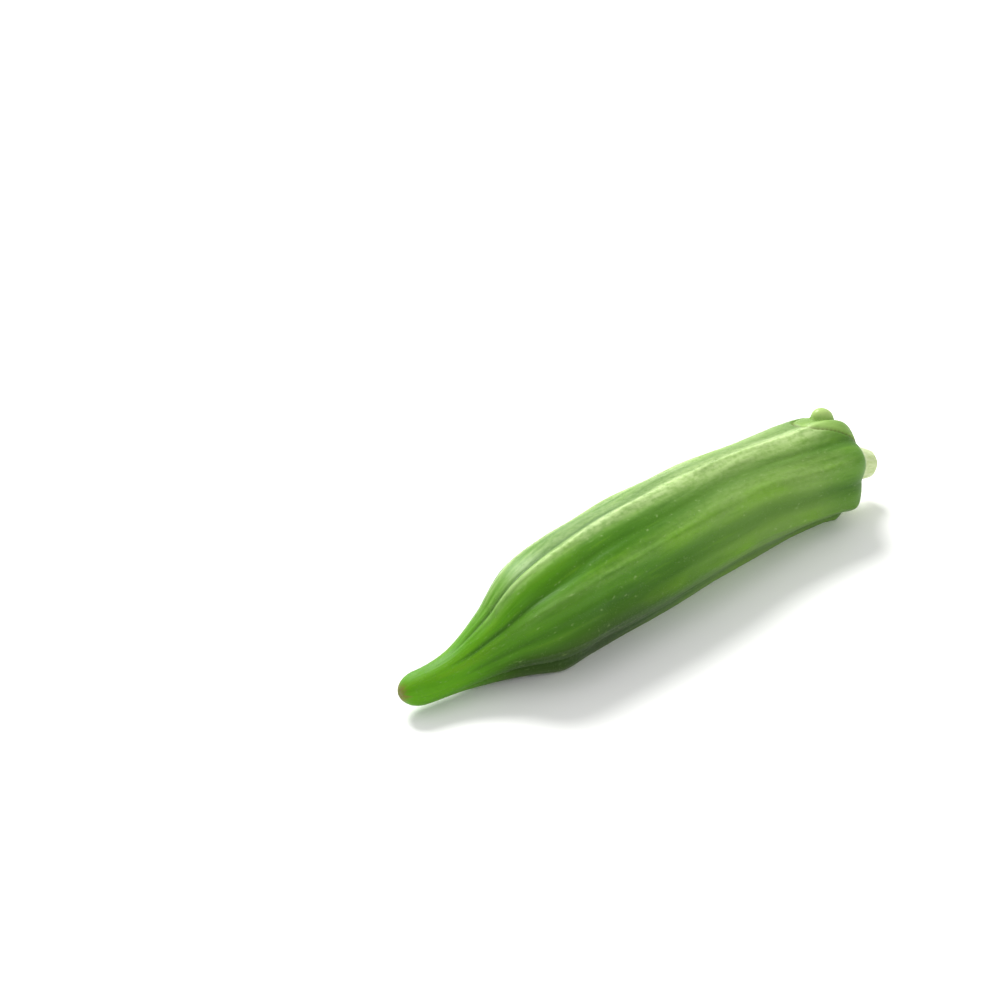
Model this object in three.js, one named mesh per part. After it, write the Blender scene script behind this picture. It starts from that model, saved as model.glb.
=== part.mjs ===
// A whole okra pod lying on two of its seven ribs: the green pod and its pale, cut stalk.
// Millimetres. +X runs from the tip to the stalk, +Z is up, and the pod rests on z = 0.
import * as THREE from 'three';
import { mergeVertices } from 'three/addons/utils/BufferGeometryUtils.js';

// Driving dimensions
const bodyLength = 99.5;
const bellyRadius = 9.85;
const ribCount = 7;
const restDepth = 0.05;
const jointGap = 0.3;

// Mesh fineness; endCrowding moves the body's rings towards both ends
const pointsPerRib = 10;
const bodySteps = 80;
const endCrowding = 0.11;
const firstRing = 0.12;
const stalkPoints = 36;

// The body from the tip to the stalk: where, how thick, and how its centre line wanders.
// at = share of the body's length, radius = share of the belly's radius,
// side = millimetres towards +Y, lift = millimetres above the height where the lower ribs touch down,
// lobed = 1 where broad ribs stand between narrow valleys, 0 where narrow crests stand between broad hollows.
const stations = [
  { at: 0.00, radius: 0.270, side: 2.4, lift: 1.7, lobed: 1.00 },
  { at: 0.05, radius: 0.285, side: 1.5, lift: 1.4, lobed: 1.00 },
  { at: 0.11, radius: 0.350, side: 0.6, lift: 1.5, lobed: 1.00 },
  { at: 0.18, radius: 0.555, side: -0.3, lift: 1.2, lobed: 1.00 },
  { at: 0.25, radius: 0.885, side: -1.6, lift: 0.3, lobed: 0.50 },
  { at: 0.33, radius: 0.955, side: -1.2, lift: 0.0, lobed: 0.15 },
  { at: 0.44, radius: 0.990, side: -0.9, lift: 0.0, lobed: 0.00 },
  { at: 0.58, radius: 0.990, side: -0.4, lift: 0.0, lobed: 0.00 },
  { at: 0.74, radius: 0.940, side: 0.0, lift: 0.0, lobed: 0.10 },
  { at: 0.88, radius: 0.895, side: -0.7, lift: 0.1, lobed: 0.30 },
  { at: 1.00, radius: 0.915, side: -2.4, lift: 0.5, lobed: 0.50 },
];

// Ribs at the neck, the belly and the stalk end. Crest angles are in degrees from straight up and
// towards -Y, and heights are shares of the usual rib depth. valley = where the next valley lies on the
// way to the next rib, dip = how far it dips below the mean skin, as a share of the crest's rise.
const ribs = [
  {
    angle: { neck: 5, belly: 0, end: 6 },
    height: { neck: 1.0, belly: 0.6, end: 0.9 },
    valley: { neck: 0.7, belly: 0.5, end: 0.5 },
    dip: { neck: 0.7, belly: 0.9, end: 0.8 },
  },
  {
    angle: { neck: 48, belly: 50, end: 62 },
    height: { neck: 0.9, belly: 0.5, end: 0.8 },
    valley: { neck: 0.5, belly: 0.5, end: 0.5 },
    dip: { neck: 0.7, belly: 1.0, end: 0.7 },
  },
  {
    angle: { neck: 97, belly: 98, end: 118 },
    height: { neck: 0.8, belly: 0.5, end: 0.8 },
    valley: { neck: 0.5, belly: 0.5, end: 0.5 },
    dip: { neck: 1.0, belly: 1.0, end: 1.0 },
  },
  {
    angle: { neck: 148, belly: 154.3, end: 160 },
    height: { neck: 1.5, belly: 0.9, end: 1.0 },
    valley: { neck: 0.5, belly: 0.5, end: 0.5 },
    dip: { neck: 1.0, belly: 1.0, end: 1.0 },
  },
  {
    angle: { neck: 208, belly: 205.7, end: 206 },
    height: { neck: 1.0, belly: 0.9, end: 1.0 },
    valley: { neck: 0.5, belly: 0.5, end: 0.5 },
    dip: { neck: 1.0, belly: 1.0, end: 1.0 },
  },
  {
    angle: { neck: 262, belly: 257, end: 257 },
    height: { neck: 0.9, belly: 0.6, end: 0.9 },
    valley: { neck: 0.5, belly: 0.5, end: 0.5 },
    dip: { neck: 1.0, belly: 1.0, end: 1.0 },
  },
  {
    angle: { neck: 335, belly: 317, end: 315 },
    height: { neck: 0.9, belly: 0.55, end: 0.7 },
    valley: { neck: 0.75, belly: 0.78, end: 0.65 },
    dip: { neck: 0.2, belly: 0.0, end: 0.1 },
  },
];
const restingRib = 4;
const ribDepthShare = 0.075;
const ribsStart = 0.05;
const neckAt = 0.18;
const bellyAt = 0.4;
const ribsTurnAt = 0.7;
const crestSoftness = 0.14;
const ridgeSharpness = 1.2;
const lobeFullness = 0.8;

// Tip, shoulder and stalk
const tipRoundLength = 3.8;
const shoulderLength = 7;
const shoulderTilt = 3.2;
const shoulderTop = THREE.MathUtils.degToRad(-20);
const valleySquareness = 2.0;
const crestSquareness = 3.2;
const knobRadius = 1.7;
const knobHeight = 1.8;
const knobRoundness = 0.6;
const knobFromEnd = 3.3;
const knobAngle = THREE.MathUtils.degToRad(344);
const ringRadius = 4.6;
const stalkLength = 7.2;
const stalkDrop = 1.3;
const stalkEndRadius = 2.1;

// The stalk's outline from its ring to its cut end: share of its length, and share of the way from
// the ring's radius to the end's
const stalkProfile = [
  { at: 0.00, taper: 0.26 },
  { at: 0.05, taper: -0.04 },
  { at: 0.14, taper: -0.05 },
  { at: 0.22, taper: 0.20 },
  { at: 0.50, taper: 0.62 },
  { at: 0.85, taper: 0.85 },
  { at: 1.00, taper: 1.00 },
];

const smooth = (from, to, x) => THREE.MathUtils.smoothstep(x, from, to);
const mix = THREE.MathUtils.lerp;

// Smooth value of one station property at a share of the length
function along(name, at) {
  let i = 0;
  while (i < stations.length - 2 && at > stations[i + 1].at) i += 1;
  const a = stations[Math.max(i - 1, 0)];
  const b = stations[i];
  const c = stations[i + 1];
  const d = stations[Math.min(i + 2, stations.length - 1)];
  const span = c.at - b.at;
  const slopeB = ((c[name] - a[name]) / (c.at - a.at)) * span;
  const slopeC = ((d[name] - b[name]) / (d.at - b.at)) * span;
  const t = (at - b.at) / span;
  const t2 = t * t;
  const t3 = t2 * t;
  return (2 * t3 - 3 * t2 + 1) * b[name] + (t3 - 2 * t2 + t) * slopeB
    + (3 * t2 - 2 * t3) * c[name] + (t3 - t2) * slopeC;
}

// One of a rib's values at a share of the length; k may run past the last rib and round again
function ribValue(k, name, at) {
  const { neck, belly, end } = ribs[k % ribCount][name];
  return mix(neck, belly, smooth(neckAt, bellyAt, at)) + (end - belly) * smooth(ribsTurnAt, 1, at);
}

function ribAngle(k, at) {
  return THREE.MathUtils.degToRad(360 * Math.floor(k / ribCount) + ribValue(k, 'angle', at));
}

// How far the crest of rib k stands out at a share of the length, as a share of the radius
function ribDepth(k, at) {
  return ribDepthShare * ribValue(k, 'height', at) * smooth(ribsStart, neckAt, at);
}

// Share of the way to the next rib, stretched so that the valley falls on one half
function evenShare(share, valley) {
  return share < valley ? (0.5 * share) / valley : 1 - (0.5 * (1 - share)) / (1 - valley);
}

// How far the skin stands out or in across one rib interval: +1 on a crest, -1 in a valley
function ribWave(share, lobed) {
  const soft = crestSoftness;
  const ease = (x) => (Math.hypot(x, soft) - soft) / (Math.hypot(1, soft) - soft);
  const ridge = 1 - 2 * ease(Math.abs(Math.sin(Math.PI * share))) ** ridgeSharpness;
  const lobe = 2 * ease(Math.abs(Math.cos(Math.PI * share))) ** lobeFullness - 1;
  return mix(ridge, lobe, lobed);
}

// 0 before the rounded shoulder, 1 where the stalk begins
function shoulderPart(distance, length) {
  return THREE.MathUtils.clamp((distance - (bodyLength - length)) / length, 0, 1);
}

// Middle of the body's cross-section at a distance from the tip
function centre(distance) {
  const at = distance / bodyLength;
  const crestRadius = bellyRadius * along('radius', at) * (1 + ribDepth(restingRib, at));
  return new THREE.Vector3(
    distance - bodyLength / 2,
    along('side', at),
    crestRadius * Math.cos(Math.PI / ribCount) + along('lift', at) - restDepth
      - stalkDrop * shoulderPart(distance, shoulderLength) ** 2,
  );
}

// How far the centre line wanders in y and z for each millimetre of x
function centreSlope(distance) {
  const before = centre(Math.max(distance - 1, 0));
  const step = centre(Math.min(distance + 1, bodyLength)).sub(before);
  return step.divideScalar(step.x);
}

// One cross-section of the body at a distance from the tip, square to the centre line
function bodyRing(distance) {
  const at = distance / bodyLength;
  const tip = Math.min(distance / tipRoundLength, 1);
  const tipShare = Math.sqrt(Math.max(0, 1 - (1 - tip) ** 2));
  const fullRadius = bellyRadius * along('radius', at) * tipShare;
  const middle = centre(distance);
  const slope = centreSlope(distance);
  const ring = [];
  for (let j = 0; j < ribCount * pointsPerRib; j += 1) {
    const k = Math.floor(j / pointsPerRib);
    const share = (j % pointsPerRib) / pointsPerRib;
    const angle = mix(ribAngle(k, at), ribAngle(k + 1, at), share);
    const depth = mix(ribDepth(k, at), ribDepth(k + 1, at), share);
    const wave = ribWave(evenShare(share, ribValue(k, 'valley', at)), along('lobed', at));
    const crest = (wave + 1) / 2;
    const shoulder = shoulderPart(distance, shoulderLength + shoulderTilt * Math.cos(angle - shoulderTop));
    const squareness = mix(valleySquareness, crestSquareness, crest);
    const ribbed = fullRadius * (1 + depth * mix(-ribValue(k, 'dip', at), 1, crest));
    const radius = mix(ringRadius, ribbed, Math.sqrt(1 - shoulder ** squareness));
    const fromKnob = Math.hypot(
      distance - (bodyLength - knobFromEnd),
      radius * (angle - knobAngle),
    ) / knobRadius;
    const onKnob = Math.max(0, 1 - fromKnob ** 2);
    const underKnob = mix(ringRadius, fullRadius, Math.sqrt(1 - shoulder ** crestSquareness));
    const out = mix(radius, underKnob, smooth(0, 0.5, onKnob)) + knobHeight * onKnob ** knobRoundness;
    const y = -out * Math.sin(angle);
    const z = out * Math.cos(angle);
    ring.push(new THREE.Vector3(
      middle.x - y * slope.y - z * slope.z,
      middle.y + y,
      Math.max(0, middle.z + z),
    ));
  }
  return ring;
}

// Closed skin through a list of rings, with a point in the middle of each end
function skin(rings) {
  const positions = [];
  const triangles = [];
  const n = rings[0].length;
  const middle = (ring) => ring.reduce((sum, p) => sum.add(p), new THREE.Vector3()).divideScalar(n);
  rings.forEach((ring) => ring.forEach((p) => positions.push(p.x, p.y, p.z)));
  for (let i = 0; i < rings.length - 1; i += 1) {
    for (let j = 0; j < n; j += 1) {
      const a = i * n + j;
      const b = i * n + ((j + 1) % n);
      triangles.push(a, b, a + n, b, b + n, a + n);
    }
  }
  const ends = [rings[0], rings[rings.length - 1]].map((ring) => {
    const p = middle(ring);
    positions.push(p.x, p.y, p.z);
    return positions.length / 3 - 1;
  });
  const last = (rings.length - 1) * n;
  for (let j = 0; j < n; j += 1) {
    const k = (j + 1) % n;
    triangles.push(ends[0], k, j);
    triangles.push(ends[1], last + j, last + k);
  }
  const geometry = new THREE.BufferGeometry();
  geometry.setAttribute('position', new THREE.Float32BufferAttribute(positions, 3));
  geometry.setIndex(triangles);
  const closed = mergeVertices(geometry, 1e-4);
  closed.computeVertexNormals();
  return closed;
}

function makePod() {
  const rings = [];
  for (let i = 0; i <= bodySteps; i += 1) {
    const u = i / bodySteps;
    const eased = u - endCrowding * Math.sin(2 * Math.PI * u);
    rings.push(bodyRing(mix(firstRing, bodyLength, eased)));
  }
  return skin(rings);
}

function makeStalk() {
  const base = centre(bodyLength);
  const slope = centreSlope(bodyLength);
  const rings = stalkProfile.map(({ at, taper }) => {
    const out = mix(jointGap, stalkLength, at);
    const radius = mix(ringRadius, stalkEndRadius, taper);
    const ring = [];
    for (let j = 0; j < stalkPoints; j += 1) {
      const angle = (j / stalkPoints) * 2 * Math.PI;
      const y = -radius * Math.sin(angle);
      const z = radius * Math.cos(angle);
      ring.push(new THREE.Vector3(
        base.x + out - y * slope.y - z * slope.z,
        base.y + y + out * slope.y,
        base.z + z + out * slope.z,
      ));
    }
    return ring;
  });
  return skin(rings);
}

function add(group, name, geometry, color, roughness) {
  const material = new THREE.MeshStandardMaterial({ color, roughness, metalness: 0 });
  const mesh = new THREE.Mesh(geometry, material);
  mesh.name = name;
  group.add(mesh);
}

// Moves the pieces together so that the origin is under the middle of their box, on the ground
function centreOnGround(geometries) {
  const box = new THREE.Box3();
  geometries.forEach((geometry) => box.union(new THREE.Box3().setFromBufferAttribute(geometry.attributes.position)));
  const middle = box.getCenter(new THREE.Vector3());
  geometries.forEach((geometry) => geometry.translate(-middle.x, -middle.y, -box.min.z));
}

const pod = makePod();
const stalk = makeStalk();
centreOnGround([pod, stalk]);

const group = new THREE.Group();
group.name = 'okra_pod';
add(group, 'pod', pod, '#58961e', 0.55);
add(group, 'stalk', stalk, '#bcd68a', 0.7);
export default group;
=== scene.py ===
"""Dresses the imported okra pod: a ribbed, velvety green skin, its cut stalk, and a pale studio."""
import math

import bpy
import numpy as np
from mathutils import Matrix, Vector


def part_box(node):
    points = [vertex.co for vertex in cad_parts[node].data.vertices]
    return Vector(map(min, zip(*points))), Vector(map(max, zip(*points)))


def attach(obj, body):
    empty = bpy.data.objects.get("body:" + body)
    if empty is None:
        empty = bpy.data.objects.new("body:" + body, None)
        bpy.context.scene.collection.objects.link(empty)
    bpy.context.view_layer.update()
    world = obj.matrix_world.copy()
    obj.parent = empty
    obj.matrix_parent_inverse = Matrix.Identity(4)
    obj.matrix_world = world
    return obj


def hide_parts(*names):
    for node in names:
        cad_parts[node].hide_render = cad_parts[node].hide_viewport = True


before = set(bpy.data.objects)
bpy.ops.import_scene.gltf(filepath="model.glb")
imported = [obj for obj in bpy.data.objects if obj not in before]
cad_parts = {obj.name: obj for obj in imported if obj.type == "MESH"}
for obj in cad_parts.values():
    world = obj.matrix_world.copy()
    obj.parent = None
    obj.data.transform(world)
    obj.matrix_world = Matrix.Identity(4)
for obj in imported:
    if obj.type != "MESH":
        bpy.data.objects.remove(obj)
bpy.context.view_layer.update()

MM = 0.001

# Driving dimensions, the same as the solids'
BODY_LENGTH = 99.5 * MM
BELLY_RADIUS = 9.85 * MM
RIB_COUNT = 7
REST_DEPTH = 0.05 * MM
FIRST_RING = 0.12 * MM

# The body from the tip to the stalk: share of its length, share of the belly's radius, how far
# its middle wanders to +Y and up in millimetres, and 1 for broad ribs or 0 for narrow crests
STATIONS = {
    "at": (0.00, 0.05, 0.11, 0.18, 0.25, 0.33, 0.44, 0.58, 0.74, 0.88, 1.00),
    "radius": (0.270, 0.285, 0.350, 0.555, 0.885, 0.955, 0.990, 0.990, 0.940, 0.895, 0.915),
    "side": (2.4, 1.5, 0.6, -0.3, -1.6, -1.2, -0.9, -0.4, 0.0, -0.7, -2.4),
    "lift": (1.7, 1.4, 1.5, 1.2, 0.3, 0.0, 0.0, 0.0, 0.0, 0.1, 0.5),
    "lobed": (1.0, 1.0, 1.0, 1.0, 0.5, 0.15, 0.0, 0.0, 0.1, 0.3, 0.5),
}

# Ribs at the neck, the belly and the stalk end: crest angles in degrees from straight up, towards
# -Y, heights as shares of the usual rib depth, where the next valley lies on the way to the next
# rib, and how far it dips below the mean skin. pale is how pale the crest is painted: partly its
# velvet, partly painted sheen, strongest on the top ribs
RIBS = {
    "angle": {
        "neck": (5, 48, 97, 148, 208, 262, 335),
        "belly": (0, 50, 98, 154.3, 205.7, 257, 317),
        "end": (6, 62, 118, 160, 206, 257, 315),
    },
    "height": {
        "neck": (1.0, 0.9, 0.8, 1.5, 1.0, 0.9, 0.9),
        "belly": (0.6, 0.5, 0.5, 0.9, 0.9, 0.6, 0.55),
        "end": (0.9, 0.8, 0.8, 1.0, 1.0, 0.9, 0.7),
    },
    "valley": {
        "neck": (0.7, 0.5, 0.5, 0.5, 0.5, 0.5, 0.75),
        "belly": (0.5, 0.5, 0.5, 0.5, 0.5, 0.5, 0.78),
        "end": (0.5, 0.5, 0.5, 0.5, 0.5, 0.5, 0.65),
    },
    "dip": {
        "neck": (0.7, 0.7, 1.0, 1.0, 1.0, 1.0, 0.2),
        "belly": (0.9, 1.0, 1.0, 1.0, 1.0, 1.0, 0.0),
        "end": (0.8, 0.7, 1.0, 1.0, 1.0, 1.0, 0.1),
    },
    "pale": {
        "neck": (0.7, 0.1, 0.0, 0.2, 0.2, 0.4, 0.8),
        "belly": (0.95, 0.12, 0.0, 0.2, 0.2, 0.4, 0.9),
        "end": (1.0, 0.15, 0.1, 0.2, 0.2, 0.4, 0.22),
    },
}
RESTING_RIB = 4
RIB_DEPTH_SHARE = 0.075
RIBS_START = 0.05
NECK_AT = 0.18
BELLY_AT = 0.4
RIBS_TURN_AT = 0.7
CREST_SOFTNESS = 0.14
RIDGE_SHARPNESS = 1.2
LOBE_FULLNESS = 0.8

# Tip, shoulder, knob and stalk
TIP_ROUND_LENGTH = 3.8 * MM
SHOULDER_LENGTH = 7 * MM
SHOULDER_TILT = 3.2 * MM
SHOULDER_TOP = math.radians(-20)
VALLEY_SQUARENESS = 2.0
CREST_SQUARENESS = 3.2
KNOB_RADIUS = 1.7 * MM
KNOB_HEIGHT = 1.8 * MM
KNOB_ROUNDNESS = 0.6
KNOB_FROM_END = 3.3 * MM
KNOB_ANGLE = math.radians(344)
RING_RADIUS = 4.6 * MM
STALK_LENGTH = 7.2 * MM
STALK_DROP = 1.3 * MM
STALK_END_RADIUS = 2.1 * MM
CUT_HOLLOW = 0.16 * MM

# The stalk from the skin to its cut: share of its length, share of the way from the ring's radius to
# the end's, and how much of the leaves' ring shows
STALK = {
    "at": (0.00, 0.05, 0.14, 0.22, 0.50, 0.85, 1.00),
    "taper": (0.26, -0.04, -0.05, 0.20, 0.62, 0.85, 0.95),
    "ring": (0.6, 1.0, 1.0, 0.5, 0.0, 0.0, 0.0),
}

# The leaf scar: its distance from the stalk end, and how much further it dips over one stretch of
# the shoulder, whose middle and half-width are in degrees
SCAR_FROM_END = 0.9 * MM
SCAR_DIP = 7.2 * MM
SCAR_DIP_AT = -8
SCAR_DIP_SPREAD = 29
SCAR_WANDER = 0.25 * MM

# Brown marks along the leaf scar: degrees round the shoulder, and radius in millimetres
SCAR_SPOTS = ((32, 0.5), (46, 0.7), (92, 0.4), (141, 0.6), (203, 0.4), (251, 0.7), (305, 0.5))

# Two dark lines of painted crease shade, in the valleys that follow the top rib and the rib on its
# far side: the shares of the length where each fades in, and where it fades out
TOP_RIB = 0
FAR_RIB = 6
TOP_CREASE_SHADE = ((0.08, 0.14), (0.22, 0.27))
FAR_CREASE_SHADE = ((0.1, 0.2), (0.4, 0.6))
CREASE_SHADE_WIDTH = 0.4 * MM

# Colour zones, as the shares of the length between which each starts, fades or changes
BODY_STARTS = (0.04, 0.16)
NECK_FADES = (0.12, 0.36)
STEM_STARTS = (0.4, 0.72)
STEM_FADES = (0.84, 0.95)
PALE_STARTS = (0.12, 0.28)
BAND_WIDENS = (0.3, 0.7)
TOP_SHEEN_CHANGES = (0.5, 0.7)
UNDERSIDE_SHADE_STARTS = (0.06, 0.2)
UNDERSIDE_SHADE_FADES = (0.3, 0.65)
NECK_SHADE = ((0.08, 0.16), (0.24, 0.34))

# The pale band along each crest, from its width on the neck to its width at the stalk end
NECK_BAND = 1.1 * MM
STEM_BAND = 2.5 * MM

# Fine relief of the skin: where it starts, how far each kind stands out from the smooth shape, and
# how wide it is or how far apart its swells are
RELIEF_STARTS = (0.06, 0.2)
CREST_LINE_HEIGHT = 0.13 * MM
CREST_LINE_UNEVENNESS = 0.05 * MM
CREST_LINE_WIDTH = 0.55 * MM
FINE_GRAIN_HEIGHT = 0.022 * MM
COARSE_GRAIN_HEIGHT = 0.035 * MM
SWELL_HEIGHT = 0.06 * MM
SCAR_CREASE_DEPTH = 0.3 * MM
SCAR_CREASE_WIDTH = 0.4 * MM
RIPPLE_WAVES = 28
RIPPLE_SIZES = {
    "crest_line": 14 * MM,
    "fine_grain": 1.6 * MM,
    "coarse_grain": 3.2 * MM,
    "swell": 7 * MM,
    "scar": 5 * MM,
    "tip": 2.2 * MM,
    "stalk": 0.9 * MM,
}

# Seeds of the random draws
SEEDS = {
    "crest_line": 3,
    "fine_grain": 5,
    "coarse_grain": 6,
    "swell": 7,
    "scar": 11,
    "tip": 21,
    "stalk": 33,
    "hairs": 41,
}

# The cut stalk's surface: its slow lobes, each with how many there are round it, their height and
# their turn, then its fine fibres and the rounding of its edge at the cut
STALK_LOBES = ((5, 0.12 * MM, 0.7), (9, 0.06 * MM, 2.0))
STALK_FIBRE_HEIGHT = 0.03 * MM
CUT_EDGE_ROUNDING = 0.05

# Mesh fineness
ROWS = 360
END_CROWDING = 0.09
POINTS_PER_RIB = 30
STALK_ROWS = 80
STALK_POINTS = 96

# Hairs
HAIR_COUNT = 16000
HAIR_LENGTHS = (0.18 * MM, 0.38 * MM)
HAIR_RADII = (0.010 * MM, 0.018 * MM)
HAIR_LEAN = 0.35
HAIR_ROOT_DEPTH = 0.03 * MM
HAIR_CLEARANCE = 0.1 * MM

# The camera; its target is in the body's own axes
CAMERA_AZIMUTH = math.radians(-44.66)
CAMERA_ELEVATION = math.radians(29)
CAMERA_DISTANCE = 0.440
CAMERA_TARGET = Vector((8.83, 40.01, 0)) * MM
LENS_MM = 90
SENSOR_MM = 36

# The studio: each light's place away from the camera, to its right and up, then its width in
# metres, its watts and its tint
KEY_LIGHT = ((0.6, -0.3, 0.7), 0.5, 12.5, (1, 1, 0.98))
FILL_LIGHT = ((-0.8, 0.3, 0.5), 0.7, 1.5, (0.97, 0.99, 1))
WORLD_STRENGTH = 0.76
FLOOR_HALF_WIDTH = 3.0


def smooth(low, high, x):
    t = np.clip((x - low) / (high - low), 0, 1)
    return t * t * (3 - 2 * t)


def mix(a, b, share):
    return a + (b - a) * share


def stretch(at, fades):
    """1 along a stretch of the length, easing in over its first fade and out over its second."""
    fade_in, fade_out = fades
    return smooth(*fade_in, at) * (1 - smooth(*fade_out, at))


def ripple(points, kind):
    """A smooth random value around 0 at each point, with the kind's own seed and size of swells."""
    random = np.random.default_rng(SEEDS[kind])
    ways = random.normal(size=(RIPPLE_WAVES, 3))
    ways /= np.linalg.norm(ways, axis=1, keepdims=True)
    starts = random.uniform(0, math.tau, RIPPLE_WAVES)
    waves = np.cos(points @ ways.T * (math.tau / RIPPLE_SIZES[kind]) + starts)
    return np.sqrt(2 / RIPPLE_WAVES) * waves.sum(axis=-1)


# The skin's shape


def along(table, name, at):
    """The smooth value of one of a table's columns at shares of the length."""
    places = np.array(table["at"])
    values = np.array(table[name])
    last = len(places) - 1
    index = np.arange(last + 1)
    before = np.maximum(index - 1, 0)
    after = np.minimum(index + 1, last)
    slopes = (values[after] - values[before]) / (places[after] - places[before])
    i = np.clip(np.searchsorted(places, at, side="right") - 1, 0, last - 1)
    span = places[i + 1] - places[i]
    t = (at - places[i]) / span
    t2 = t * t
    t3 = t2 * t
    ends = (2 * t3 - 3 * t2 + 1) * values[i] + (3 * t2 - 2 * t3) * values[i + 1]
    return ends + ((t3 - 2 * t2 + t) * slopes[i] + (t3 - t2) * slopes[i + 1]) * span


def rib_value(rib, name, at):
    """One of a rib's values at shares of the length; rib may run once past the last."""
    neck, belly, end = (np.array(RIBS[name][place])[rib % RIB_COUNT] for place in ("neck", "belly", "end"))
    front = mix(neck, belly, smooth(NECK_AT, BELLY_AT, at))
    return front + (end - belly) * smooth(RIBS_TURN_AT, 1, at)


def rib_angle(rib, at):
    return np.radians(360 * (rib // RIB_COUNT) + rib_value(rib, "angle", at))


def rib_depth(rib, at):
    """How far a rib's crest stands out, as a share of the radius."""
    return RIB_DEPTH_SHARE * rib_value(rib, "height", at) * smooth(RIBS_START, NECK_AT, at)


def even_share(share, valley):
    """The share of the way to the next rib, stretched so that the valley falls on one half."""
    return np.where(share < valley, 0.5 * share / valley, 1 - 0.5 * (1 - share) / (1 - valley))


def rib_wave(share, lobed):
    """+1 on a crest and -1 in a valley, across one rib interval."""
    soft = CREST_SOFTNESS

    def ease(x):
        return (np.hypot(x, soft) - soft) / (math.hypot(1, soft) - soft)

    ridge = 1 - 2 * ease(np.abs(np.sin(np.pi * share))) ** RIDGE_SHARPNESS
    lobe = 2 * ease(np.abs(np.cos(np.pi * share))) ** LOBE_FULLNESS - 1
    return mix(ridge, lobe, lobed)


def shoulder_part(distance, length):
    """0 before the rounded shoulder, 1 where the stalk begins."""
    return np.clip((distance - (BODY_LENGTH - length)) / length, 0, 1)


def centre(distance):
    """The middle of the body's cross-section at distances from the tip."""
    at = distance / BODY_LENGTH
    crest_radius = BELLY_RADIUS * along(STATIONS, "radius", at) * (1 + rib_depth(RESTING_RIB, at))
    below = crest_radius * math.cos(math.pi / RIB_COUNT)
    drop = REST_DEPTH + STALK_DROP * shoulder_part(distance, SHOULDER_LENGTH) ** 2
    return np.stack([
        distance - BODY_LENGTH / 2,
        along(STATIONS, "side", at) * MM,
        below + along(STATIONS, "lift", at) * MM - drop,
    ], axis=-1)


def centre_slope(distance):
    before = centre(np.maximum(distance - MM, 0))
    step = centre(np.minimum(distance + MM, BODY_LENGTH)) - before
    return step / step[..., :1]


def skin_facts(distance, turn):
    """What the shape and the colours share at each place of the skin: turn counts ribs round it."""
    at = distance / BODY_LENGTH
    rib = np.floor(turn).astype(int) % RIB_COUNT
    share = turn - np.floor(turn)
    tip = np.minimum(distance / TIP_ROUND_LENGTH, 1)
    tip_share = np.sqrt(np.maximum(0, 1 - (1 - tip) ** 2))
    full_radius = BELLY_RADIUS * along(STATIONS, "radius", at) * tip_share
    angle = mix(rib_angle(rib, at), rib_angle(rib + 1, at), share)
    depth = mix(rib_depth(rib, at), rib_depth(rib + 1, at), share)
    pale = mix(rib_value(rib, "pale", at), rib_value(rib + 1, "pale", at), share)
    wave = rib_wave(even_share(share, rib_value(rib, "valley", at)), along(STATIONS, "lobed", at))
    crest = (wave + 1) / 2
    shoulder_length = SHOULDER_LENGTH + SHOULDER_TILT * np.cos(angle - SHOULDER_TOP)
    shoulder = shoulder_part(distance, shoulder_length)
    squareness = mix(VALLEY_SQUARENESS, CREST_SQUARENESS, crest)
    ribbed = full_radius * (1 + depth * mix(-rib_value(rib, "dip", at), 1, crest))
    radius = mix(RING_RADIUS, ribbed, (1 - shoulder ** squareness) ** 0.5)
    between_ribs = radius * (rib_angle(rib + 1, at) - rib_angle(rib, at))
    to_crest = np.minimum(share, 1 - share) * between_ribs
    from_valley = (share - rib_value(rib, "valley", at)) * between_ribs / CREASE_SHADE_WIDTH
    # Painted shade: a dark line along these two valleys, in colour only, not in the skin's shape
    crease_shade_share = (rib == TOP_RIB) * stretch(at, TOP_CREASE_SHADE) + (rib == FAR_RIB) * stretch(at, FAR_CREASE_SHADE)
    painted_crease_shade = np.exp(-from_valley ** 2) * crease_shade_share
    from_knob = np.hypot(distance - (BODY_LENGTH - KNOB_FROM_END), radius * (angle - KNOB_ANGLE))
    on_knob = np.maximum(0, 1 - (from_knob / KNOB_RADIUS) ** 2)
    under_knob = mix(RING_RADIUS, full_radius, (1 - shoulder ** CREST_SQUARENESS) ** 0.5)
    radius = mix(radius, under_knob, smooth(0, 0.5, on_knob))
    flow_angle = math.tau * turn / RIB_COUNT
    flow = np.stack([
        distance,
        BELLY_RADIUS * np.cos(flow_angle),
        BELLY_RADIUS * np.sin(flow_angle),
    ], axis=-1)
    return {
        "at": at, "shoulder": shoulder, "radius": radius,
        "angle": angle, "crest": crest, "to_crest": to_crest, "on_knob": on_knob,
        "flow": flow, "pale": pale, "painted_crease_shade": painted_crease_shade, "from_end": BODY_LENGTH - distance,
    }


def past_scar(f):
    """How far beyond the leaf scar a place of the shoulder lies, in metres; the scar dips on top."""
    turned = (np.degrees(f["angle"]) - SCAR_DIP_AT + 180) % 360 - 180
    scar = SCAR_FROM_END + SCAR_DIP * np.exp(-((turned / SCAR_DIP_SPREAD) ** 4))
    return scar + SCAR_WANDER * ripple(f["flow"], "scar") - f["from_end"]


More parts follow.
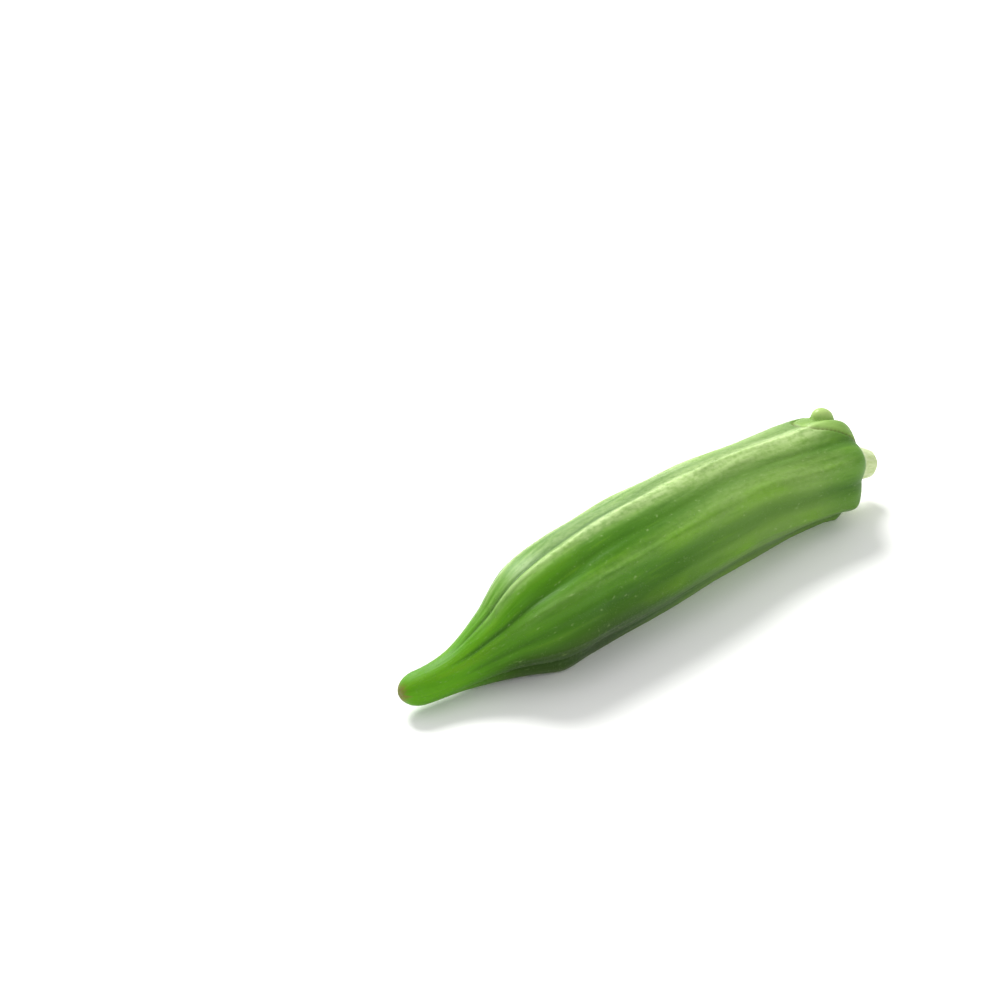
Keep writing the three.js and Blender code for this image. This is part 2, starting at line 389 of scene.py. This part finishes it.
def fine_relief(f):
    """Small rises and dips of the real skin, in metres outwards."""
    body = smooth(*RELIEF_STARTS, f["at"]) * (1 - smooth(0.0, 0.6, f["shoulder"]))
    line_height = CREST_LINE_HEIGHT + CREST_LINE_UNEVENNESS * ripple(f["flow"], "crest_line")
    line = line_height * np.exp(-(f["to_crest"] / CREST_LINE_WIDTH) ** 2)
    lengthwise = f["flow"] * np.array([0.12, 1, 1])
    grain = FINE_GRAIN_HEIGHT * ripple(lengthwise, "fine_grain")
    grain += COARSE_GRAIN_HEIGHT * ripple(lengthwise, "coarse_grain")
    swell = SWELL_HEIGHT * ripple(f["flow"] * np.array([0.5, 1, 1]), "swell")
    crease = SCAR_CREASE_DEPTH * np.exp(-((past_scar(f) / SCAR_CREASE_WIDTH) ** 2))
    return body * (line + grain + swell) - crease


def skin_points(f, distance, relief=True):
    """The skin's points in the solids' own axes, before they are centred on the ground."""
    out = f["radius"] + KNOB_HEIGHT * f["on_knob"] ** KNOB_ROUNDNESS
    if relief:
        out = out + fine_relief(f)
    y = -out * np.sin(f["angle"])
    z = out * np.cos(f["angle"])
    middle = centre(distance)
    slope = centre_slope(distance)
    return np.stack([
        middle[..., 0] - y * slope[..., 1] - z * slope[..., 2],
        middle[..., 1] + y,
        np.maximum(0, middle[..., 2] + z),
    ], axis=-1)


def skin_grid():
    """Distances and turns of the skin's mesh, with rows closer together at both ends."""
    u = np.linspace(0, 1, ROWS + 1)
    eased = u - END_CROWDING * np.sin(math.tau * u)
    distance = mix(FIRST_RING, BODY_LENGTH, eased)
    turn = np.arange(RIB_COUNT * POINTS_PER_RIB) / POINTS_PER_RIB
    return np.meshgrid(distance, turn, indexing="ij")


def to_centre_shift():
    """What moves the body from its own axes to the frame's, where its box is centred."""
    distance, turn = skin_grid()
    plain = skin_points(skin_facts(distance, turn), distance, relief=False)
    low = plain.reshape(-1, 3).min(axis=0)
    return np.array(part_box("pod")[0]) - low


# Meshes


def closed_tube(name, rows):
    """A closed mesh through a grid of points, rows by points around, with a point at each end."""
    count, around = rows.shape[:2]
    ends = np.stack([rows[0].mean(axis=0), rows[-1].mean(axis=0)])
    points = np.concatenate([rows.reshape(-1, 3), ends])
    quads = []
    for i in range(count - 1):
        for j in range(around):
            k = (j + 1) % around
            quads.append((i * around + j, i * around + k, (i + 1) * around + k, (i + 1) * around + j))
    first, last = count * around, count * around + 1
    for j in range(around):
        k = (j + 1) % around
        quads.append((first, k, j))
        quads.append((last, (count - 1) * around + j, (count - 1) * around + k))
    return new_piece(name, points, quads)


def new_piece(name, points, faces):
    mesh = bpy.data.meshes.new(name)
    mesh.from_pydata([tuple(p) for p in points], [], faces)
    mesh.polygons.foreach_set("use_smooth", [True] * len(mesh.polygons))
    mesh.update()
    piece = bpy.data.objects.new(name, mesh)
    bpy.context.scene.collection.objects.link(piece)
    return piece


def add_value(piece, name, rows):
    """Stores one number for each point; the two end points take their row's mean."""
    ends = [rows[0].mean(), rows[-1].mean()]
    values = np.concatenate([rows.ravel(), ends])
    made = piece.data.attributes.new(name, "FLOAT", "POINT")
    made.data.foreach_set("value", values.astype(np.float32))


def add_vector(piece, name, rows):
    ends = np.stack([rows[0].mean(axis=0), rows[-1].mean(axis=0)])
    values = np.concatenate([rows.reshape(-1, 3), ends])
    made = piece.data.attributes.new(name, "FLOAT_VECTOR", "POINT")
    made.data.foreach_set("vector", values.astype(np.float32).ravel())


# Materials


def colour(red, green, blue):
    """A colour from its screen values, 0 to 255."""
    def linear(value):
        share = value / 255
        return share / 12.92 if share <= 0.04045 else ((share + 0.055) / 1.055) ** 2.4

    return (linear(red), linear(green), linear(blue), 1)


class Surface:
    """One material and the nodes that lead to its Principled shader."""

    def __init__(self, name):
        self.material = bpy.data.materials.new(name)
        self.material.use_nodes = True
        self.tree = self.material.node_tree
        self.shader = self.tree.nodes["Principled BSDF"]

    def put(self, node, inputs):
        for key, value in inputs.items():
            if isinstance(value, bpy.types.NodeSocket):
                self.tree.links.new(value, node.inputs[key])
            else:
                node.inputs[key].default_value = value
        return node

    def set(self, **inputs):
        self.put(self.shader, {name.replace("_", " "): value for name, value in inputs.items()})

    def value(self, name):
        node = self.tree.nodes.new("ShaderNodeAttribute")
        node.attribute_name = name
        return node.outputs["Fac"]

    def vector(self, name, scale):
        node = self.tree.nodes.new("ShaderNodeAttribute")
        node.attribute_name = name
        scaled = self.tree.nodes.new("ShaderNodeVectorMath")
        scaled.operation = "MULTIPLY"
        self.tree.links.new(node.outputs["Vector"], scaled.inputs[0])
        scaled.inputs[1].default_value = scale
        return scaled.outputs["Vector"]

    def noise(self, vector, scale, detail=3, roughness=0.5):
        node = self.tree.nodes.new("ShaderNodeTexNoise")
        self.put(node, {"Vector": vector, "Scale": scale, "Detail": detail, "Roughness": roughness})
        return node.outputs["Fac"]

    def sum(self, operation, a, b, clamp=False):
        node = self.tree.nodes.new("ShaderNodeMath")
        node.operation = operation
        node.use_clamp = clamp
        self.put(node, {0: a, 1: b})
        return node.outputs[0]

    def span(self, value, low, high, to_low=0.0, to_high=1.0):
        node = self.tree.nodes.new("ShaderNodeMapRange")
        node.interpolation_type = "SMOOTHSTEP"
        self.put(node, {0: value, 1: low, 2: high, 3: to_low, 4: to_high})
        return node.outputs[0]

    def blend(self, share, a, b):
        node = self.tree.nodes.new("ShaderNodeMix")
        node.data_type = "RGBA"
        self.put(node, {0: share, 6: a, 7: b})
        return node.outputs[2]

    def bump(self, height, distance, strength=1.0, normal=None):
        node = self.tree.nodes.new("ShaderNodeBump")
        self.put(node, {"Height": height, "Distance": distance, "Strength": strength})
        if normal is not None:
            self.tree.links.new(normal, node.inputs["Normal"])
        return node.outputs["Normal"]


def skin_material():
    """Green okra skin: its valleys, two creases and underside darkened with painted shade, pale crests that
    are partly velvet and partly painted sheen, a brighter neck and a brown tip.
    """
    s = Surface("okra_skin")
    crest = s.value("crest")
    ridge = s.value("ridge")
    scar = s.value("scar")
    streaks = s.noise(s.vector("flow", (110, 900, 900)), 1.0, 4, 0.55)
    patches = s.noise(s.vector("flow", (70, 170, 170)), 1.0, 2)
    specks = s.noise(s.vector("flow", (900, 1500, 1500)), 1.0, 2)

    belly_green = colour(70, 120, 6)
    neck_green = colour(80, 142, 0)
    stem_green = colour(101, 139, 49)
    streak_and_shade_green = colour(40, 84, 2)
    painted_underside_shade = colour(34, 56, 6)
    sunny = colour(104, 154, 14)
    pale = colour(184, 208, 142)
    cap = colour(140, 176, 84)
    bead = colour(168, 194, 116)
    brown = colour(116, 104, 48)
    dark_brown = colour(90, 72, 30)

    green = s.blend(s.value("stem"), belly_green, stem_green)
    green = s.blend(s.value("neck"), green, neck_green)
    # Painted shade: the valleys between the ribs darker
    green = s.blend(s.span(crest, 0.55, 0.0, 0.0, 0.45), green, streak_and_shade_green)
    contrast = s.sum("SUBTRACT", 1.0, s.sum("MULTIPLY", s.value("stem"), 0.5))
    sunny_share = s.sum("MULTIPLY", s.span(patches, 0.42, 0.68), s.span(crest, 0.2, 0.9))
    green = s.blend(s.sum("MULTIPLY", sunny_share, 0.6), green, sunny)
    green = s.blend(s.sum("MULTIPLY", s.span(streaks, 0.52, 0.8, 0.0, 0.4), contrast), green, sunny)
    green = s.blend(s.sum("MULTIPLY", s.span(streaks, 0.48, 0.22, 0.0, 0.4), contrast), green, streak_and_shade_green)
    velvet_and_sheen_noise = s.sum("MULTIPLY", s.span(streaks, 0.25, 0.6, 0.5, 1.0), s.span(specks, 0.3, 0.6, 0.6, 1.0))
    # Painted shade: the underside and the neck's sides darker, where little light reaches
    green = s.blend(s.value("painted_underside_shade"), green, painted_underside_shade)
    # Pale crests: partly the velvet of the skin, partly painted sheen, strongest on the top ribs
    pale_share = s.sum("MULTIPLY", ridge, velvet_and_sheen_noise)
    green = s.blend(pale_share, green, pale)
    # Painted shade along the two valley creases
    green = s.blend(s.sum("MULTIPLY", s.value("painted_crease_shade"), 0.55), green, streak_and_shade_green)
    green = s.blend(s.span(specks, 0.64, 0.82, 0.0, 0.3), green, pale)
    green = s.blend(s.sum("MULTIPLY", s.value("cap"), s.span(patches, 0.3, 0.7, 0.5, 1.0)), green, cap)
    # A dark brown line along the leaf scar: the scar's own brown, darkened further as painted shade in its
    # crease
    green = s.blend(s.sum("MULTIPLY", s.value("line"), 0.6), green, dark_brown)
    green = s.blend(s.sum("MULTIPLY", s.value("knob"), 0.8), green, bead)
    green = s.blend(s.value("spots"), green, dark_brown)
    green = s.blend(scar, green, brown)

    height = s.sum("ADD", s.sum("MULTIPLY", streaks, 0.6), s.sum("MULTIPLY", specks, 0.4))
    normal = s.bump(height, 0.12 * MM, 0.8)
    uneven = s.span(patches, 0.3, 0.7, 0.42, 0.55)
    rough = s.sum("SUBTRACT", uneven, s.sum("MULTIPLY", s.value("knob"), 0.2))
    s.set(Base_Color=green, Roughness=rough, Normal=normal)
    s.set(Specular_IOR_Level=0.16, Sheen_Weight=0.03, Sheen_Roughness=0.4)
    s.set(Sheen_Tint=colour(225, 240, 205))
    return s.material


def stalk_material():
    """Pale yellow-green stalk with lengthwise fibres, browner on the cut face."""
    s = Surface("okra_stalk")
    cut = s.value("cut")
    ring = s.value("ring")
    fibres = s.noise(s.vector("flow", (160, 1900, 1900)), 1.0, 4, 0.6)
    patches = s.noise(s.vector("flow", (260, 400, 400)), 1.0, 2)
    stem_green = colour(164, 184, 112)
    stem_pale = colour(192, 205, 152)
    ring_green = colour(138, 172, 80)
    cut_pale = colour(196, 196, 154)
    brown = colour(158, 136, 92)
    green = s.blend(s.span(fibres, 0.3, 0.7), stem_green, stem_pale)
    green = s.blend(s.sum("MULTIPLY", ring, 0.7), green, ring_green)
    green = s.blend(s.span(patches, 0.55, 0.75, 0.0, 0.35), green, brown)
    green = s.blend(cut, green, cut_pale)
    normal = s.bump(fibres, 0.15 * MM, 0.9)
    s.set(Base_Color=green, Normal=normal, Roughness=s.span(fibres, 0.2, 0.8, 0.5, 0.68))
    s.set(Specular_IOR_Level=0.4, Sheen_Weight=0.25, Subsurface_Weight=0.08)
    s.set(Subsurface_Radius=(0.002, 0.003, 0.001), Subsurface_Scale=1.0)
    return s.material


def hair_material():
    """Fine pale hairs."""
    s = Surface("okra_hairs")
    tint = s.noise(s.vector("flow", (300, 300, 300)), 1.0, 1)
    shade = s.blend(tint, colour(90, 134, 44), colour(160, 190, 116))
    s.set(Base_Color=shade, Roughness=s.span(tint, 0.2, 0.8, 0.5, 0.7), Sheen_Weight=0.3)
    return s.material


def floor_material():
    s = Surface("pale_floor")
    place = s.tree.nodes.new("ShaderNodeTexCoord").outputs["Object"]
    cloud = s.noise(place, 3.0, 2)
    s.set(Base_Color=s.blend(cloud, colour(246, 246, 245), colour(250, 250, 249)), Roughness=0.7)
    return s.material


# The pieces


def scar_spots(f, past):
    """Small brown marks on the leaf scar, at uneven steps round it."""
    spots = np.zeros_like(past)
    for degrees, size in SCAR_SPOTS:
        sideways = f["radius"] * np.sin((f["angle"] - math.radians(degrees)) / 2) * 2
        off = np.hypot(past, sideways) / (size * MM)
        spots = np.maximum(spots, 0.85 * (1 - smooth(0.4, 1.2, off)))
    return spots


def make_skin(shift):
    distance, turn = skin_grid()
    f = skin_facts(distance, turn)
    piece = closed_tube("okra_skin", skin_points(f, distance) + shift)
    at = f["at"]
    body = smooth(*BODY_STARTS, at)
    add_value(piece, "crest", f["crest"] * body + 0.6 * (1 - body))
    band = mix(NECK_BAND, STEM_BAND, smooth(*BAND_WIDENS, at))
    ridge = f["pale"] * np.exp(-(f["to_crest"] / band) ** 2)
    # Painted sheen: the top of the pod paler, over the velvety crest bands
    top = smooth(FAR_RIB + 0.15, FAR_RIB + 0.4, turn) + 1 - smooth(TOP_RIB, TOP_RIB + 0.3, turn)
    painted_top_sheen = top * mix(0.3, 0.26, smooth(*TOP_SHEEN_CHANGES, at))
    velvet_and_sheen_share = np.maximum(ridge, painted_top_sheen) * smooth(*PALE_STARTS, at)
    add_value(piece, "ridge", velvet_and_sheen_share * (1 - smooth(0.1, 0.8, f["shoulder"])))
    add_value(piece, "neck", 1 - smooth(*NECK_FADES, at))
    add_value(piece, "stem", smooth(*STEM_STARTS, at) * (1 - 0.8 * smooth(*STEM_FADES, at)))
    upness = np.cos(f["angle"])
    # Painted shade on the faces turned down, strongest towards the tip, and on the neck's sides
    facing_down = smooth(0.5, -0.25, upness) * smooth(*UNDERSIDE_SHADE_STARTS, at)
    painted_underside_shade = facing_down * mix(0.9, 0.12, smooth(*UNDERSIDE_SHADE_FADES, at))
    neck_side = 0.3 * smooth(0.9, 0.6, upness) * stretch(at, NECK_SHADE)
    add_value(piece, "painted_underside_shade", np.maximum(painted_underside_shade, neck_side))
    add_value(piece, "painted_crease_shade", f["painted_crease_shade"])
    past = past_scar(f)
    add_value(piece, "cap", 0.85 * smooth(-0.1 * MM, 0.5 * MM, past))
    # The line along the leaf scar: its own brown and painted shade in the crease
    add_value(piece, "line", np.exp(-(past / (0.22 * MM)) ** 2))
    add_value(piece, "spots", scar_spots(f, past))
    uneven = ripple(f["flow"], "tip") * 0.2 * MM
    add_value(piece, "scar", 0.8 * (1 - smooth(0.2 * MM, 0.9 * MM, distance + uneven)))
    add_value(piece, "knob", smooth(0, 0.4, f["on_knob"]))
    add_vector(piece, "flow", f["flow"])
    piece.data.materials.append(skin_material())
    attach(piece, "root")
    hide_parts("pod")
    return piece


def make_hairs(shift):
    """Short pale hairs all over the skin, thicker on the ribs, each a closed three-sided spike."""
    random = np.random.default_rng(SEEDS["hairs"])
    distance = random.uniform(1.5 * MM, BODY_LENGTH - 0.5 * MM, HAIR_COUNT * 3)
    turn = random.uniform(0, RIB_COUNT, HAIR_COUNT * 3)
    f = skin_facts(distance, turn)
    on_rib = np.exp(-(f["to_crest"] / (1.2 * MM)) ** 2)
    wanted = f["radius"] / BELLY_RADIUS * (0.35 + 0.65 * on_rib)
    chosen = np.flatnonzero(random.uniform(size=len(wanted)) < wanted)[:HAIR_COUNT]
    distance, turn = distance[chosen], turn[chosen]

    def skin(d, t):
        return skin_points(skin_facts(d, t), d) + shift

    step = 0.2 * MM
    root = skin(distance, turn)
    lengthwise = skin(np.minimum(distance + step, BODY_LENGTH), turn) - root
    sideways = skin(distance, (turn + 0.02) % RIB_COUNT) - root
    lengthwise /= np.linalg.norm(lengthwise, axis=1, keepdims=True)
    outward = np.cross(sideways, lengthwise)
    outward /= np.linalg.norm(outward, axis=1, keepdims=True)
    across = np.cross(outward, lengthwise)

    count = len(distance)
    lean = random.normal(0, HAIR_LEAN, (count, 2)) + np.array([-HAIR_LEAN, 0])
    way = outward + lean[:, :1] * lengthwise + lean[:, 1:] * across
    way /= np.linalg.norm(way, axis=1, keepdims=True)
    tall = random.uniform(*HAIR_LENGTHS, (count, 1))
    thick = random.uniform(*HAIR_RADII, (count, 1))
    tip = root + way * tall
    keep = (tip[:, 2] > HAIR_CLEARANCE) & (root[:, 2] > 1.5 * HAIR_CLEARANCE)
    points, faces = [], []
    sunk = root - outward * HAIR_ROOT_DEPTH
    corners = [
        sunk + thick * (math.cos(a) * lengthwise + math.sin(a) * across)
        for a in math.tau * np.arange(3) / 3
    ]
    for n in np.flatnonzero(keep):
        base = len(points)
        points += [corners[0][n], corners[1][n], corners[2][n], tip[n]]
        faces += [(base, base + 1, base + 2), (base + 1, base, base + 3)]
        faces += [(base + 2, base + 1, base + 3), (base, base + 2, base + 3)]
    piece = new_piece("okra_hairs", points, faces)
    made = piece.data.attributes.new("flow", "FLOAT_VECTOR", "POINT")
    made.data.foreach_set("vector", np.array(points, dtype=np.float32).ravel())
    piece.data.materials.append(hair_material())
    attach(piece, "root")
    return piece


def make_stalk(shift):
    """The ring where the leaves sat, the short tapered stalk and its cut face."""
    side = np.linspace(0, 1, STALK_ROWS)
    face = np.linspace(0.95, 0.05, 12)
    rounded = 1 - CUT_EDGE_ROUNDING * smooth(0.96, 1, side) ** 2
    side_radius = mix(RING_RADIUS, STALK_END_RADIUS, along(STALK, "taper", side)) * rounded
    out = np.concatenate([STALK_LENGTH * side, STALK_LENGTH - CUT_HOLLOW * (1 - face ** 2)])
    radius = np.concatenate([side_radius, side_radius[-1] * face])
    cut = np.concatenate([0.6 * smooth(0.97, 1, side), np.ones_like(face)])
    ring = np.concatenate([along(STALK, "ring", side), np.zeros_like(face)])
    angle = np.arange(STALK_POINTS) / STALK_POINTS * math.tau
    out, angle = np.meshgrid(out, angle, indexing="ij")
    radius, cut, ring = (np.repeat(values[:, None], STALK_POINTS, axis=1) for values in (radius, cut, ring))
    flow = np.stack([out, radius * np.cos(angle), radius * np.sin(angle)], axis=-1)
    lobes = sum(height * np.cos(count * angle + phase) for count, height, phase in STALK_LOBES)
    fibres = STALK_FIBRE_HEIGHT * ripple(flow * np.array([0.1, 1, 1]), "stalk")
    reach = radius + (lobes * (0.35 + 0.65 * ring) + fibres) * (1 - 0.6 * cut)
    y = -reach * np.sin(angle)
    z = reach * np.cos(angle)
    base = centre(np.array(BODY_LENGTH))
    slope = centre_slope(np.array(BODY_LENGTH))
    rows = np.stack([
        base[0] + out - y * slope[1] - z * slope[2],
        base[1] + y + out * slope[1],
        base[2] + z + out * slope[2],
    ], axis=-1)
    piece = closed_tube("okra_stalk", rows + shift)
    add_value(piece, "cut", cut)
    add_value(piece, "ring", ring)
    add_vector(piece, "flow", flow)
    piece.data.materials.append(stalk_material())
    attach(piece, "root")
    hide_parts("stalk")
    return piece


def make_floor():
    half = FLOOR_HALF_WIDTH
    corners = [(-half, -half, 0), (half, -half, 0), (half, half, 0), (-half, half, 0)]
    floor = new_piece("floor", corners, [(0, 1, 2, 3)])
    floor.data.materials.append(floor_material())


# The studio


def make_light(name, place, size, watts, tint):
    data = bpy.data.lights.new(name, "AREA")
    data.shape = "DISK"
    data.size = size
    data.energy = watts
    data.color = tint
    lamp = bpy.data.objects.new(name, data)
    lamp.location = place
    lamp.rotation_euler = (-Vector(place)).to_track_quat("-Z", "Y").to_euler()
    bpy.context.scene.collection.objects.link(lamp)


def make_studio():
    """Soft key light from the left, behind and above; weak fill from the camera's side."""
    scene = bpy.context.scene
    world = bpy.data.worlds.new("studio")
    world.use_nodes = True
    world.node_tree.nodes["Background"].inputs["Color"].default_value = (1, 1, 1, 1)
    world.node_tree.nodes["Background"].inputs["Strength"].default_value = WORLD_STRENGTH
    scene.world = world
    away = Vector((-math.sin(CAMERA_AZIMUTH), math.cos(CAMERA_AZIMUTH), 0))
    right = Vector((math.cos(CAMERA_AZIMUTH), math.sin(CAMERA_AZIMUTH), 0))
    up = Vector((0, 0, 1))
    for name, light in (("key", KEY_LIGHT), ("fill", FILL_LIGHT)):
        place, size, watts, tint = light
        make_light(name, away * place[0] + right * place[1] + up * place[2], size, watts, tint)
    scene.view_settings.view_transform = "Standard"


def make_camera(shift):
    azimuth, elevation = CAMERA_AZIMUTH, CAMERA_ELEVATION
    back = Vector((
        math.sin(azimuth) * math.cos(elevation),
        -math.cos(azimuth) * math.cos(elevation),
        math.sin(elevation),
    ))
    data = bpy.data.cameras.new("camera")
    data.lens = LENS_MM
    data.sensor_width = SENSOR_MM
    data.clip_start = 0.01
    data.clip_end = 20
    camera = bpy.data.objects.new("camera", data)
    camera.location = CAMERA_TARGET + Vector(shift) + back * CAMERA_DISTANCE
    camera.rotation_euler = back.to_track_quat("Z", "Y").to_euler()
    bpy.context.scene.collection.objects.link(camera)
    bpy.context.scene.camera = camera


shift = to_centre_shift()
make_skin(shift)
make_hairs(shift)
make_stalk(shift)
make_floor()
make_studio()
make_camera(shift)
